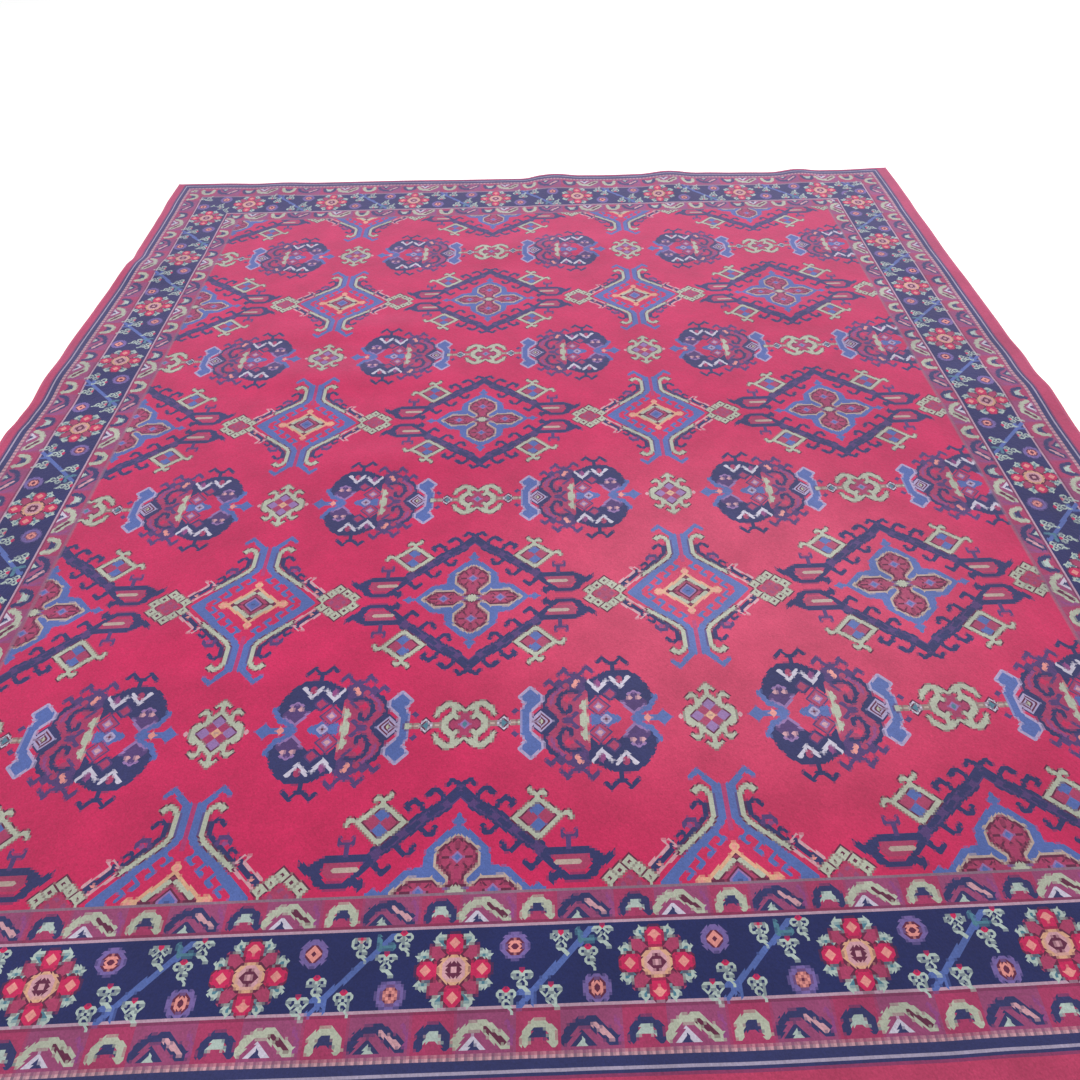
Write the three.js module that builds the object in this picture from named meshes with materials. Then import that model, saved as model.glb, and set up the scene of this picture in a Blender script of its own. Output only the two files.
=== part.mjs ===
// A hand-knotted wool rug, lying open on a floor. Millimetres, +Z up.
// X runs across the rug, Y runs along it, and the origin is under its middle, on the floor.
// The rug is one piece of knotted cloth, so it is one closed solid: a sheet of even thickness
// with an uneven outline, a rounded edge, and the low ripples that a big rug keeps after it is unrolled.
import * as THREE from 'three';

// Driving dimensions.
const RUG_WIDTH = 3350;
const RUG_LENGTH = 3745;
const RUG_THICKNESS = 10;
const EDGE_THICKNESS = 7;
const BELLY_HEIGHT = 3;
const TOP_INSET = 6;
const FOOT_INSET = 2;
const COLUMNS = 48;
const ROWS = 52;

const HALF_WIDTH = RUG_WIDTH / 2;
const HALF_LENGTH = RUG_LENGTH / 2;

// How far the two sides stand out from a straight line, at places along the rug.
const SIDE_WAVER = [
  { y: -1872, left: 0, right: 0 },
  { y: -1300, left: -5, right: 0 },
  { y: -700, left: 1, right: -4 },
  { y: -150, left: 12, right: -2 },
  { y: 0, left: 16, right: 3 },
  { y: 70, left: 7, right: 4 },
  { y: 160, left: 1, right: -5 },
  { y: 280, left: 6, right: 3 },
  { y: 390, left: 2, right: -3 },
  { y: 520, left: 9, right: -1 },
  { y: 760, left: 3, right: -1 },
  { y: 910, left: 0, right: -6 },
  { y: 1080, left: -11, right: -2 },
  { y: 1140, left: -18, right: 0 },
  { y: 1230, left: -8, right: 2 },
  { y: 1400, left: -5, right: 2 },
  { y: 1540, left: -1, right: 7 },
  { y: 1716, left: 8, right: 9 },
  { y: 1872, left: 8, right: 8 },
];

// How far the two ends stand out from a straight line, at places across the rug.
const END_WAVER = [
  { x: -1675, near: 0, far: 20 },
  { x: -1480, near: 2, far: 18 },
  { x: -1240, near: 5, far: 2 },
  { x: -640, near: -2, far: 2 },
  { x: -300, near: 1, far: -6 },
  { x: -60, near: 3, far: -9 },
  { x: 20, near: 4, far: 14 },
  { x: 200, near: 6, far: 15 },
  { x: 340, near: 8, far: 10 },
  { x: 640, near: 6, far: 17 },
  { x: 800, near: 2, far: 14 },
  { x: 960, near: -1, far: 4 },
  { x: 1110, near: -4, far: -3 },
  { x: 1220, near: -4, far: 9 },
  { x: 1440, near: -2, far: 5 },
  { x: 1675, near: 0, far: 19 },
];

// Ripples: the middle of each crest, its height, how far it slopes to each side,
// how far it runs each way along its crest, and the crest's turn from X in degrees.
const RIPPLES = [
  { x: -1590, y: 1060, height: 12, slope: 165, run: 360, turn: -6 },
  { x: 1605, y: 90, height: 7, slope: 190, run: 430, turn: 9 },
  { x: 1560, y: 900, height: 6, slope: 170, run: 260, turn: -4 },
  { x: -1600, y: 330, height: 8, slope: 210, run: 300, turn: 5 },
  { x: -720, y: 262, height: 9, slope: 135, run: 620, turn: -3 },
  { x: -620, y: 560, height: 6, slope: 115, run: 480, turn: 2 },
  { x: -430, y: -190, height: 7, slope: 125, run: 400, turn: 6 },
  { x: 0, y: 1150, height: 8, slope: 170, run: 560, turn: 1 },
  { x: 880, y: 640, height: 6, slope: 150, run: 420, turn: -7 },
  { x: -960, y: -830, height: 7, slope: 140, run: 420, turn: 12 },
  { x: 470, y: -930, height: 7, slope: 165, run: 460, turn: -5 },
  { x: 90, y: 1850, height: 10, slope: 130, run: 300, turn: 90 },
  { x: 630, y: 1840, height: 11, slope: 140, run: 330, turn: 84 },
  { x: 1250, y: 1850, height: 8, slope: 110, run: 240, turn: 92 },
  { x: -1180, y: 1790, height: 6, slope: 170, run: 240, turn: 95 },
  { x: 1080, y: -1780, height: 7, slope: 180, run: 280, turn: 92 },
];

// A smooth hump, 1 at the middle and 0 from one unit away.
function hump(distance) {
  const nearness = Math.max(0, 1 - Math.abs(distance));
  return Math.sin(nearness * Math.PI / 2) ** 2;
}

// How high the ripples lift the rug from the floor at a point.
function lift(x, y) {
  let height = 0;
  for (const ripple of RIPPLES) {
    const turn = THREE.MathUtils.degToRad(ripple.turn);
    const along = (x - ripple.x) * Math.cos(turn) + (y - ripple.y) * Math.sin(turn);
    const across = (y - ripple.y) * Math.cos(turn) - (x - ripple.x) * Math.sin(turn);
    height += ripple.height * hump(across / ripple.slope) * hump(along / ripple.run);
  }
  return height;
}

// The value of one column of a table at a place, eased between its rows.
function eased(table, placeColumn, valueColumn, place) {
  let after = table.findIndex((row) => row[placeColumn] >= place);
  if (after < 0) after = table.length - 1;
  if (after === 0) return table[0][valueColumn];
  const start = table[after - 1];
  const end = table[after];
  const reach = (place - start[placeColumn]) / (end[placeColumn] - start[placeColumn]);
  const share = THREE.MathUtils.smoothstep(reach, 0, 1);
  return THREE.MathUtils.lerp(start[valueColumn], end[valueColumn], share);
}

// Moves a point of the straight rug to its place in the uneven one. The middle stays, and the waver
// grows towards each edge, as the stripes there follow the outline.
function wavered(x, y) {
  const across = x / HALF_WIDTH;
  const along = y / HALF_LENGTH;
  const side = across > 0 ? 'right' : 'left';
  const end = along > 0 ? 'far' : 'near';
  const sideways = eased(SIDE_WAVER, 'y', side, y) * across ** 2 * Math.sign(across);
  const lengthways = eased(END_WAVER, 'x', end, x) * along ** 2 * Math.sign(along);
  return [x + sideways, y + lengthways];
}

// One layer of the sheet: a grid of points that stops short of the outline by an inset.
function layerPoints(inset, height) {
  const points = [];
  for (let row = 0; row <= ROWS; row += 1) {
    for (let column = 0; column <= COLUMNS; column += 1) {
      const x = THREE.MathUtils.lerp(-HALF_WIDTH + inset, HALF_WIDTH - inset, column / COLUMNS);
      const y = THREE.MathUtils.lerp(-HALF_LENGTH + inset, HALF_LENGTH - inset, row / ROWS);
      const [placedX, placedY] = wavered(x, y);
      points.push(new THREE.Vector3(placedX, placedY, lift(x, y) + height(column, row)));
    }
  }
  return points;
}

function onRim(column, row) {
  return column === 0 || column === COLUMNS || row === 0 || row === ROWS;
}

// The grid's outer points in order, seen from above against the clock.
function rimIndices() {
  const at = (column, row) => row * (COLUMNS + 1) + column;
  const rim = [];
  for (let column = 0; column < COLUMNS; column += 1) rim.push(at(column, 0));
  for (let row = 0; row < ROWS; row += 1) rim.push(at(COLUMNS, row));
  for (let column = COLUMNS; column > 0; column -= 1) rim.push(at(column, ROWS));
  for (let row = ROWS; row > 0; row -= 1) rim.push(at(0, row));
  return rim;
}

function rugGeometry() {
  const topHeight = (column, row) => (onRim(column, row) ? EDGE_THICKNESS : RUG_THICKNESS);
  const top = layerPoints(TOP_INSET, topHeight);
  const foot = layerPoints(FOOT_INSET, () => 0);
  const outline = layerPoints(0, () => BELLY_HEIGHT);
  const rim = rimIndices();
  const belly = rim.map((index) => outline[index]);
  const points = [...top, ...foot, ...belly];
  const footStart = top.length;
  const bellyStart = top.length + foot.length;

  const triangles = [];
  for (let row = 0; row < ROWS; row += 1) {
    for (let column = 0; column < COLUMNS; column += 1) {
      const a = row * (COLUMNS + 1) + column;
      const b = a + 1;
      const c = b + COLUMNS + 1;
      const d = a + COLUMNS + 1;
      triangles.push(a, b, c, a, c, d);
      triangles.push(footStart + a, footStart + c, footStart + b);
      triangles.push(footStart + a, footStart + d, footStart + c);
    }
  }
  rim.forEach((index, place) => {
    const next = (place + 1) % rim.length;
    const lower = footStart + index;
    const lowerNext = footStart + rim[next];
    const middle = bellyStart + place;
    const middleNext = bellyStart + next;
    triangles.push(lower, lowerNext, middleNext, lower, middleNext, middle);
    triangles.push(middle, middleNext, rim[next], middle, rim[next], index);
  });

  const geometry = new THREE.BufferGeometry();
  geometry.setFromPoints(points);
  geometry.setIndex(triangles);
  geometry.computeBoundingBox();
  const middle = geometry.boundingBox.getCenter(new THREE.Vector3());
  geometry.translate(-middle.x, -middle.y, -geometry.boundingBox.min.z);
  geometry.computeVertexNormals();
  return geometry;
}

// The crimson ground of the wool pile is the colour that shows most.
const wool = new THREE.MeshStandardMaterial({ color: '#c8304f', roughness: 0.95, metalness: 0 });

const rug = new THREE.Mesh(rugGeometry(), wool);
rug.name = 'knotted_rug';

const model = new THREE.Group();
model.add(rug);

export default model;
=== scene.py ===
# %% [markdown]
# # A hand-knotted wool rug, in cells
# The rug lies open on a floor. It is one piece of cloth: a woven foundation with about 460,000 short tufts
# of dyed wool tied into it. What the eye gets is the pattern, which is drawn knot by knot, and the soft
# surface of the pile. So this lesson charts the pattern first, as a designer does on squared paper, and
# then ties that chart into a mesh that has one square for each knot.
#
# The first cell loads the CAD model as a fixed frame. Its box says how big the rug is.

# %% The frame
import math

import bpy
import numpy as np
from mathutils import Matrix, Vector


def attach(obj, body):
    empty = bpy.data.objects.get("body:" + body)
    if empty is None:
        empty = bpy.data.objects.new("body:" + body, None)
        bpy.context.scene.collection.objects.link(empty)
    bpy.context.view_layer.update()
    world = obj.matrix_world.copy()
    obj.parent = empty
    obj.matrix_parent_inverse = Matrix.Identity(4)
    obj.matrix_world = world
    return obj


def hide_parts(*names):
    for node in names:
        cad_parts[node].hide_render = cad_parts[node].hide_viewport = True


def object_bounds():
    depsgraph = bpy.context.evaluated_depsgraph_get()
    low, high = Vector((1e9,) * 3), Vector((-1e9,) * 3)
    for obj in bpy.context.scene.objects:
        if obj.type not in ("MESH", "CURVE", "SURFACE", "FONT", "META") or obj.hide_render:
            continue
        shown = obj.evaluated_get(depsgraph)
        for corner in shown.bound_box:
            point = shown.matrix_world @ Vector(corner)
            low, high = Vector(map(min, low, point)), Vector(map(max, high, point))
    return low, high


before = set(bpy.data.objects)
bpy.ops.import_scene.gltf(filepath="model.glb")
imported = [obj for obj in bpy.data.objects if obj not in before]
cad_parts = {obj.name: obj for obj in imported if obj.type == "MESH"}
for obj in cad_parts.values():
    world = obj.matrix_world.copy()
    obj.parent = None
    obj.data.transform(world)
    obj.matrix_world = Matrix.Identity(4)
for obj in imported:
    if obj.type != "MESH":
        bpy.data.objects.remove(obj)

CAD_LOW, CAD_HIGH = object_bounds()
MM = 0.001
print("frame:", [round(float(high - low), 4) for low, high in zip(CAD_LOW, CAD_HIGH)], "m")

# %% [markdown]
# ## The camera
# The photo was taken from standing height at the near end, with a wide lens that points down at 45 degrees.
# The repeat of the pattern gave the place: its corners were fitted to the picture. A camera looks along its
# own -Z, so it starts looking straight down, is tipped up, turned to its heading, and rolled a little. The
# photo was trimmed more on its left than on its right, which a small lens shift repeats.

# %% Camera
CAMERA_PLACE = (0.0258, -2.1794, 1.6541)
TILT_FROM_DOWN = 44.55  # degrees
HEADING = -1.58  # degrees, to the right
ROLL = -0.73  # degrees, its right side is low
FOCAL_PIXELS = 844.3
PICTURE_PIXELS = 1080
SENSOR_MM = 36
TRIMMED_PIXELS = 28.1  # how far the lens axis stands to the right of the picture's middle

camera = bpy.data.objects.new("camera", bpy.data.cameras.new("camera"))
bpy.context.scene.collection.objects.link(camera)
camera.data.sensor_width = SENSOR_MM
camera.data.lens = FOCAL_PIXELS / PICTURE_PIXELS * SENSOR_MM
camera.data.shift_x = -TRIMMED_PIXELS / PICTURE_PIXELS
turns = [Matrix.Rotation(math.radians(angle), 4, axis)
         for angle, axis in ((HEADING, "Z"), (TILT_FROM_DOWN, "X"), (ROLL, "Z"))]
camera.matrix_world = Matrix.Translation(CAMERA_PLACE) @ turns[0] @ turns[1] @ turns[2]
bpy.context.scene.camera = camera
bpy.context.scene.view_settings.view_transform = "Standard"
print("lens:", round(camera.data.lens, 2), "mm")

# %% [markdown]
# ## Nodes and colours
# Every finish below is a small graph of shader nodes. One helper adds a node, sets its values and links its
# sockets, and one makes the last links and dresses the pieces. Colours are written as the hex values that a
# screen shows. Blender counts in linear light, so one function turns them over.

# %% Helpers for materials


def linear(colour):
    """An sRGB hex colour as linear red, green, blue and alpha."""
    values = [int(colour[place:place + 2], 16) / 255 for place in (1, 3, 5)]
    return [value / 12.92 if value <= 0.04045 else ((value + 0.055) / 1.055) ** 2.4 for value in values] + [1]


def new_material(name, **settings):
    """A material and its main shader. Settings are values for the shader's sockets."""
    material = bpy.data.materials.new(name)
    material.use_nodes = True
    shader = material.node_tree.nodes["Principled BSDF"]
    for socket, value in settings.items():
        shader.inputs[socket.replace("_", " ")].default_value = value
    return material, shader


def node(material, kind, links=None, **settings):
    """Adds a node. Settings are its properties, or its input values where the name is one of its sockets.
    Links give an input's name or number and the output socket that feeds it."""
    made = material.node_tree.nodes.new("ShaderNode" + kind)
    for name, value in settings.items():
        if hasattr(made, name):
            setattr(made, name, value)
    for name, value in settings.items():
        if not hasattr(made, name):
            made.inputs[name.replace("_", " ")].default_value = value
    for name, socket in (links or {}).items():
        material.node_tree.links.new(socket, made.inputs[name])
    return made


def dress(material, shader, pieces, **links):
    """Links the main shader's sockets and gives the material to its pieces."""
    for name, socket in links.items():
        material.node_tree.links.new(socket, shader.inputs[name.replace("_", " ")])
    for piece in pieces:
        piece.data.materials.append(material)
    print(material.name, "nodes:", len(material.node_tree.nodes))


print("mid grey in linear light:", round(linear("#808080")[0], 3))

# %% [markdown]
# ## Floor and light
# A pale floor and soft studio light show the rug without a mood of their own. The brighter light stands at
# the far right, because the photo has a sheen on the far part of the pile: wool throws light forward when
# it is seen against it. The floor is staged, as it isn't part of the object. It lies half a millimetre low,
# so that it doesn't flicker through the back of the rug.

# %% Floor
FLOOR_REACH = 40.0
FLOOR_DROP = 0.5 * MM
floor_mesh = bpy.data.meshes.new("studio_floor")
corners = [(x * FLOOR_REACH, y * FLOOR_REACH, 0) for x, y in ((-1, -1), (1, -1), (1, 1), (-1, 1))]
floor_mesh.from_pydata(corners, [], [(0, 1, 2, 3)])
floor = bpy.data.objects.new("studio_floor", floor_mesh)
bpy.context.scene.collection.objects.link(floor)
floor.location.z = -FLOOR_DROP
# matt floor paint, which shows no highlight of the lamps
floor_paint, _ = new_material("pale_painted_floor", Base_Color=linear("#f4f4f4"), Roughness=0.8)
floor_mesh.materials.append(floor_paint)
print("floor:", 2 * FLOOR_REACH, "m wide")

# %% Light
world = bpy.data.worlds.new("studio")
bpy.context.scene.world = world
world.use_nodes = True
sky = world.node_tree.nodes["Background"]
sky.inputs["Color"].default_value = linear("#ffffff")
sky.inputs["Strength"].default_value = 0.9
LAMPS = [  # name, place, aim, side in metres, power in watts
    ("far_right_softbox", (2.6, 5.5, 3.6), (0.2, 0.6, 0), 3.0, 260),
    ("overhead_softbox", (-1.2, -0.4, 4.5), (0, 0, 0), 3.5, 120),
]
for name, place, aim, side, power in LAMPS:
    lamp = bpy.data.lights.new(name, "AREA")
    lamp.size = side
    lamp.energy = power
    softbox = bpy.data.objects.new(name, lamp)
    bpy.context.scene.collection.objects.link(softbox)
    softbox.location = place
    softbox.rotation_euler = (Vector(aim) - Vector(place)).to_track_quat("-Z", "Y").to_euler()
print("lamps:", len(LAMPS))

# %% [markdown]
# ## The dyes
# The wool is dyed in the yarn, one bath for each colour. Crimson fills the field, indigo the main border
# and mulberry the two narrow ones. The rest draw the figures. The values are those of the wool itself,
# darker than the rug looks, because light and sheen come on top of them.

# %% Dyes
DYES = {
    "crimson": "#a21544", "faded": "#962c4c", "red": "#862c4c", "rose": "#86284c", "mulberry": "#783458",
    "maroon": "#4c1630", "navy": "#20254e", "indigo": "#101a48", "plum": "#402c5a", "mauve": "#743466",
    "blue": "#3f5289", "teal": "#3a6272", "lavender": "#765988", "violet": "#5c4c80", "lilac": "#8a7f9e",
    "slate": "#6e5464", "steel": "#857c90", "sage": "#8f9384", "mist": "#8d9a94", "cream": "#948279",
    "ice": "#a29dab", "pink": "#a67c84", "peach": "#ae846a", "salmon": "#b8756f", "thistle": "#947888",
}
NAMES = ["none"] + list(DYES)
INDEX = {name: place for place, name in enumerate(NAMES)}
DOTS = 2  # chart dots for each knot, each way
print("dyes:", len(DYES))

# %% [markdown]
# ## Squared paper
# A rug of this kind is woven from a chart on squared paper. Here the paper is an array that holds a dye's
# number for each dot, and nought where the ground shows. It has two dots for each knot each way, so that
# slanting edges can be cut inside a knot later. The figures are drawn with a few strokes: a filled outline,
# a line of a width, a diamond and a disc, alone or inside each other. Places are in knots from the middle
# of the figure. Most figures are the same on both sides, so only a half or a quarter is drawn and then
# copied.

# %% Strokes


def blank(half_width, half_height):
    return np.zeros((int(2 * half_height * DOTS), int(2 * half_width * DOTS)), np.int8)


def dots(chart):
    """The place of each dot of a chart, in knots from its middle."""
    rows, columns = chart.shape
    x = (np.arange(columns) + 0.5 - columns / 2) / DOTS
    y = (np.arange(rows) + 0.5 - rows / 2) / DOTS
    return np.meshgrid(x, y)


def fill(chart, dye, points):
    """Fills an outline. A dot is inside if a line to its right crosses the outline an odd number of times."""
    x, y = dots(chart)
    inside = np.zeros(chart.shape, bool)
    for (x1, y1), (x2, y2) in zip(points, points[1:] + points[:1]):
        if y1 == y2:
            continue
        crossing = x1 + (y - y1) * (x2 - x1) / (y2 - y1)
        inside ^= ((y1 > y) != (y2 > y)) & (x < crossing)
    chart[inside] = INDEX[dye]


def line(chart, dye, width, points):
    """Draws through the points, and takes each dot that is within half the width."""
    x, y = dots(chart)
    nearest = np.full(chart.shape, np.inf)
    for (x1, y1), (x2, y2) in zip(points, points[1:]):
        run_x, run_y = x2 - x1, y2 - y1
        length_squared = run_x * run_x + run_y * run_y
        share = np.clip(((x - x1) * run_x + (y - y1) * run_y) / length_squared, 0, 1)
        nearest = np.minimum(nearest, np.hypot(x - x1 - share * run_x, y - y1 - share * run_y))
    chart[nearest <= width / 2] = INDEX[dye]


def diamond(chart, dye, middle, half_width, half_height=None):
    x, y = middle
    half_height = half_width if half_height is None else half_height
    fill(chart, dye, [(x - half_width, y), (x, y + half_height), (x + half_width, y), (x, y - half_height)])


def disc(chart, dye, middle, radius):
    x, y = dots(chart)
    chart[np.hypot(x - middle[0], y - middle[1]) <= radius] = INDEX[dye]


def nested(chart, shape, middle, *rings):
    """Diamonds or discs inside each other. A ring is a dye and the sizes that the shape takes."""
    for dye, *sizes in rings:
        shape(chart, dye, middle, *sizes)


trial = blank(4, 4)
diamond(trial, "red", (0, 0), 3)
print("a trial diamond:", np.count_nonzero(trial), "dots")

# %% Copies and edges


def both_ways(chart):
    """Copies the upper half down."""
    half = chart.shape[0] // 2
    chart[:half] = chart[::-1][:half]


def four_ways(chart):
    """Copies the upper right quarter to the other three."""
    both_ways(chart)
    half = chart.shape[1] // 2
    chart[:, :half] = chart[:, ::-1][:, :half]


def edged(chart, dye, edge):
    """A thin dark line round a dye, half a knot wide."""
    body = chart == INDEX[dye]
    near = np.zeros_like(body)
    near[1:] |= body[:-1]
    near[:-1] |= body[1:]
    near[:, 1:] |= body[:, :-1]
    near[:, :-1] |= body[:, 1:]
    chart[near & ~body] = INDEX[edge]


edged(trial, "red", "maroon")
print("with its edge:", np.count_nonzero(trial), "dots")

# %% [markdown]
# ## The four-armed medallion
# The largest figure of the field has a blue band that opens into two arms above and below, a sage line
# beside it, dark hooks outside, a ring of checks at either tip, and a small banded diamond in the middle.
# The quarter to the upper right is drawn, from the outside in, as each stroke lies over those before it.

# %% Arms medallion


def arms_medallion():
    chart = blank(56, 50)
    # dark outer line with its hooks
    line(chart, "navy", 2.2, [(22, 13.6), (9.6, 25), (8.8, 27.4), (8.8, 31)])
    line(chart, "navy", 2.0, [(8.8, 30.8), (11, 32), (13.2, 31.4), (14, 29.6)])
    line(chart, "plum", 2.0, [(13, 22), (14, 24.6), (16.8, 24.8), (18.2, 22.2)])
    diamond(chart, "mauve", (16, 21.6), 1.5)
    line(chart, "navy", 1.9, [(17.6, 17.6), (19.6, 19.4), (21.6, 18)])
    # blue band: up the arm, then along the diagonal to the tip
    line(chart, "blue", 3.8, [(2.9, 38.4), (2.9, 25), (6.4, 20.4), (14, 13.8), (21.6, 5.8), (26.6, 1)])
    line(chart, "blue", 2.5, [(2.8, 38), (9.8, 45.8), (13, 43)])
    fill(chart, "blue", [(30, 0), (25.6, 4.6), (22.2, 0)])
    # sage line outside it
    line(chart, "sage", 2.2, [(21.6, 11.4), (7.4, 23), (5.9, 26), (5.9, 34), (7.2, 37), (9.6, 38.4),
                              (11.6, 37.4)])
    diamond(chart, "sage", (11.8, 37), 2.0)
    # hooks inside
    for x, y in ((6.4, 18.8), (11.2, 14.4), (15.8, 10), (20.2, 5.8)):
        line(chart, "blue", 1.8, [(x, y), (x - 3, y - 2.6), (x - 1, y - 4.6)])
    line(chart, "mauve", 1.2, [(0, 20), (0, 39)])
    # the bird beside the tip: a dark body between two pale lines
    line(chart, "navy", 2.6, [(24.4, 12.4), (31.6, 5.8)])
    line(chart, "navy", 1.8, [(23.8, 15.8), (24.4, 12.4)])
    line(chart, "pink", 1.3, [(22.2, 11.4), (31.2, 3.2)])
    line(chart, "pink", 1.3, [(25.8, 13.8), (33.4, 7)])
    line(chart, "pink", 1.2, [(22.2, 14), (24.8, 16.8)])
    line(chart, "pink", 1.2, [(25.6, 14.2), (27.2, 17)])
    diamond(chart, "salmon", (29.6, 7.4), 1.0)
    # ring of checks at the tip
    diamond(chart, "red", (41.2, 0), 6.4, 5.2)
    for x, y in ((0, 8.7), (3.8, 5.7), (7.6, 2.7)):
        for way in (-1, 1):
            diamond(chart, "sage", (41.2 + way * x, y), 3.1)
            disc(chart, "maroon", (41.2 + way * x, y), 0.6)
    for x, y in ((41.2, 2.6), (44.2, 0), (38.2, 0)):
        diamond(chart, "mulberry", (x, y), 1.2)
    # the middle
    diamond(chart, "red", (0, 0), 11.8, 10.6)
    line(chart, "sage", 2.7, [(8.6, 1.6), (2, 7.6)])
    line(chart, "maroon", 1.2, [(0, 6), (0, 9.8)])
    line(chart, "maroon", 1.2, [(6.4, 0), (10.6, 0)])
    nested(chart, diamond, (0, 0), ("maroon", 5.6, 5.2), ("lavender", 4.3, 4.1), ("blue", 3.1), ("navy", 1.0))
    edged(chart, "sage", "maroon")
    line(chart, "peach", 1.5, [(12.6, 0), (0, 11.2)])
    for bead in ((14.4, 0), (0, 13)):
        nested(chart, disc, bead, ("peach", 2.1), ("salmon", 0.9))
    four_ways(chart)
    return chart


arms = arms_medallion()
print("arms medallion:", np.count_nonzero(arms), "dots")

# %% [markdown]
# ## The lozenge medallion
# A plum lozenge with waves outside and hooks inside. Its bars run out into pointed leaves, a hooked diamond
# lies on each of the four sides, and a quatrefoil fills the middle: four red petals inside a pale line and
# a blue border. The same quarter is drawn.

# %% Lozenge medallion


def lozenge_medallion():
    chart = blank(62, 50)
    # bars of the lozenge, with waves outside and hooks inside
    waves = (
        [(0.4, 40), (1.2, 44), (3.8, 45.6), (5.6, 43.6)],
        [(6.2, 36.6), (7.8, 40), (10.6, 41.8), (13.4, 39.2)],
        [(14.4, 32), (15.8, 35.4), (18.6, 37.2), (21.6, 35.2), (20.6, 33.2)],
    )
    hooks = (
        [(15.6, 26), (12.8, 22.8), (10.2, 22.8), (9.2, 25.6)],
        [(24, 18.8), (21, 14.8), (18.4, 15.2), (17.2, 18)],
        [(31.4, 11), (28.8, 7.6), (26.2, 9.8)],
    )
    for stroke in waves + hooks:
        line(chart, "navy", 2.3, stroke)
    line(chart, "plum", 5.2, [(0, 40.6), (5, 35.8), (13.5, 29.9), (30.4, 16.9), (34, 12.8)])
    line(chart, "navy", 1.6, [(1.4, 41.6), (6.2, 37), (14.9, 31.7), (33.4, 17.2)])
    line(chart, "navy", 1.2, [(3.6, 33.4), (12.4, 27.8), (28.8, 15.2)])
    for patch in ([(1, 39.4), (3.6, 37)], [(8, 33.6), (12, 30.8)], [(16.4, 27.4), (19.8, 24.8)],
                  [(24.4, 21.4), (28.6, 18.2)]):
        line(chart, "navy", 2.6, patch)
    # leaf at the end of the bar
    line(chart, "navy", 2.9, [(34.4, 14), (50, 14), (53.6, 12.4)])
    line(chart, "navy", 2.3, [(33, 12.4), (38.6, 6.8), (42, 4)])
    fill(chart, "navy", [(51, 14.8), (54, 13), (57, 12), (60.8, 14), (60.6, 11.2), (58, 8.6), (55.6, 7.2),
                         (53, 3.6), (49, 1.8), (41.4, 1.8), (39, 3.8), (36.8, 1.2), (34.2, 3), (35.4, 5.8),
                         (38.4, 6.4), (42, 5), (49.2, 5), (52, 8.2), (51, 11.4)])
    fill(chart, "red", [(36.4, 12.4), (50, 12.4), (51, 10.6), (51, 8.2), (48.8, 5.8), (42.4, 5.8), (38.6, 9)])
    line(chart, "cream", 1.7, [(38, 9.5), (47, 9.5)])
    line(chart, "plum", 2.3, [(43, 15.4), (43, 19.6)])
    line(chart, "plum", 1.7, [(40.8, 22.2), (40.8, 20), (46.2, 20), (46.4, 22.4)])
    # four small diamonds on the diagonals
    diamond(chart, "red", (31.1, 28), 8.4, 7.2)
    diamond(chart, "blue", (30.9, 31.6), 3.6, 3.4)
    diamond(chart, "blue", (31.5, 24.8), 3.6, 3.4)
    line(chart, "sage", 2.2, [(21.8, 28), (31, 36.2), (40.4, 28.6), (31.3, 19.8), (21.8, 28)])
    line(chart, "sage", 2.0, [(40.2, 28.9), (43.6, 29.8), (44.6, 27.6)])
    line(chart, "sage", 2.0, [(31, 36), (31, 38), (28.4, 39.2), (27.8, 40.4)])
    line(chart, "sage", 1.9, [(31, 37.8), (33.2, 39), (34.2, 38)])
    # quatrefoil: blue outside, a pale line, then a dark one round the petals
    fill(chart, "blue", [(0, 31.2), (2.7, 28), (1.3, 25.6), (4, 24), (12.6, 16.4), (13, 10), (19.6, 8.6),
                         (23.2, 5), (27.8, 1), (27.8, 0), (0, 0)])
    diamond(chart, "blue", (30.8, 0), 3.4, 2.2)
    fill(chart, "red", [(0, 22), (3, 20.5), (7.8, 16.5), (8.6, 13), (8.2, 9.5), (3.8, 5.6), (0, 5)])
    fill(chart, "red", [(24.7, 0), (18, 5.3), (9, 5), (5.4, 2.4), (0, 2.4), (0, 6), (4, 6), (5, 0)])
    line(chart, "maroon", 1.1, [(0, 20.6), (2.6, 19.4), (6.7, 16), (7.4, 13), (7, 10.1), (2.6, 6.4),
                                (1.9, 2)])
    line(chart, "maroon", 1.1, [(23.2, 0), (17.4, 4.1), (9.4, 3.8), (5.6, 1.9), (2, 1.9)])
    line(chart, "cream", 1.1, [(0, 22), (3, 20.5), (7.8, 16.5), (8.6, 13), (8.2, 9.5), (3.4, 5.2)])
    line(chart, "cream", 1.1, [(24.7, 0), (18, 5.3), (9.2, 5), (5.2, 1.8)])
    line(chart, "cream", 4.3, [(5.2, 4.2), (7.4, 6.2)])
    line(chart, "blue", 2.8, [(5.3, 4.3), (10.5, 9)])
    for turn in range(8):
        x, y = math.cos(turn * math.pi / 4), math.sin(turn * math.pi / 4)
        line(chart, "maroon", 1.0, [(3.4 * x, 13 + 3.6 * y), (5.6 * x, 13 + 6.2 * y)])
        line(chart, "maroon", 1.0, [(14 + 3.6 * x, 2.6 * y), (14 + 6.6 * x, 3.8 * y)])
    for middle in ((0, 13), (14, 0)):
        nested(chart, diamond, middle, ("lavender", 2.9), ("blue", 1.8))
    line(chart, "rose", 1.6, [(0, 3), (0, 8.2)])
    line(chart, "rose", 1.6, [(4, 0), (9, 0)])
    diamond(chart, "sage", (0, 0), 3.7, 2.8)
    edged(chart, "sage", "maroon")
    four_ways(chart)
    return chart


lozenge = lozenge_medallion()
print("lozenge medallion:", np.count_nonzero(lozenge), "dots")

# %% [markdown]
# ## The palmette
# A round flower that lies on its side: a navy horseshoe with pale chevrons at the thick end, an open part
# with dark curls, antlers above and below, and a blue cap. Its upper and lower halves are the same, its
# ends aren't, so a half is drawn. Every other column is woven with the flower turned round.

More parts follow.
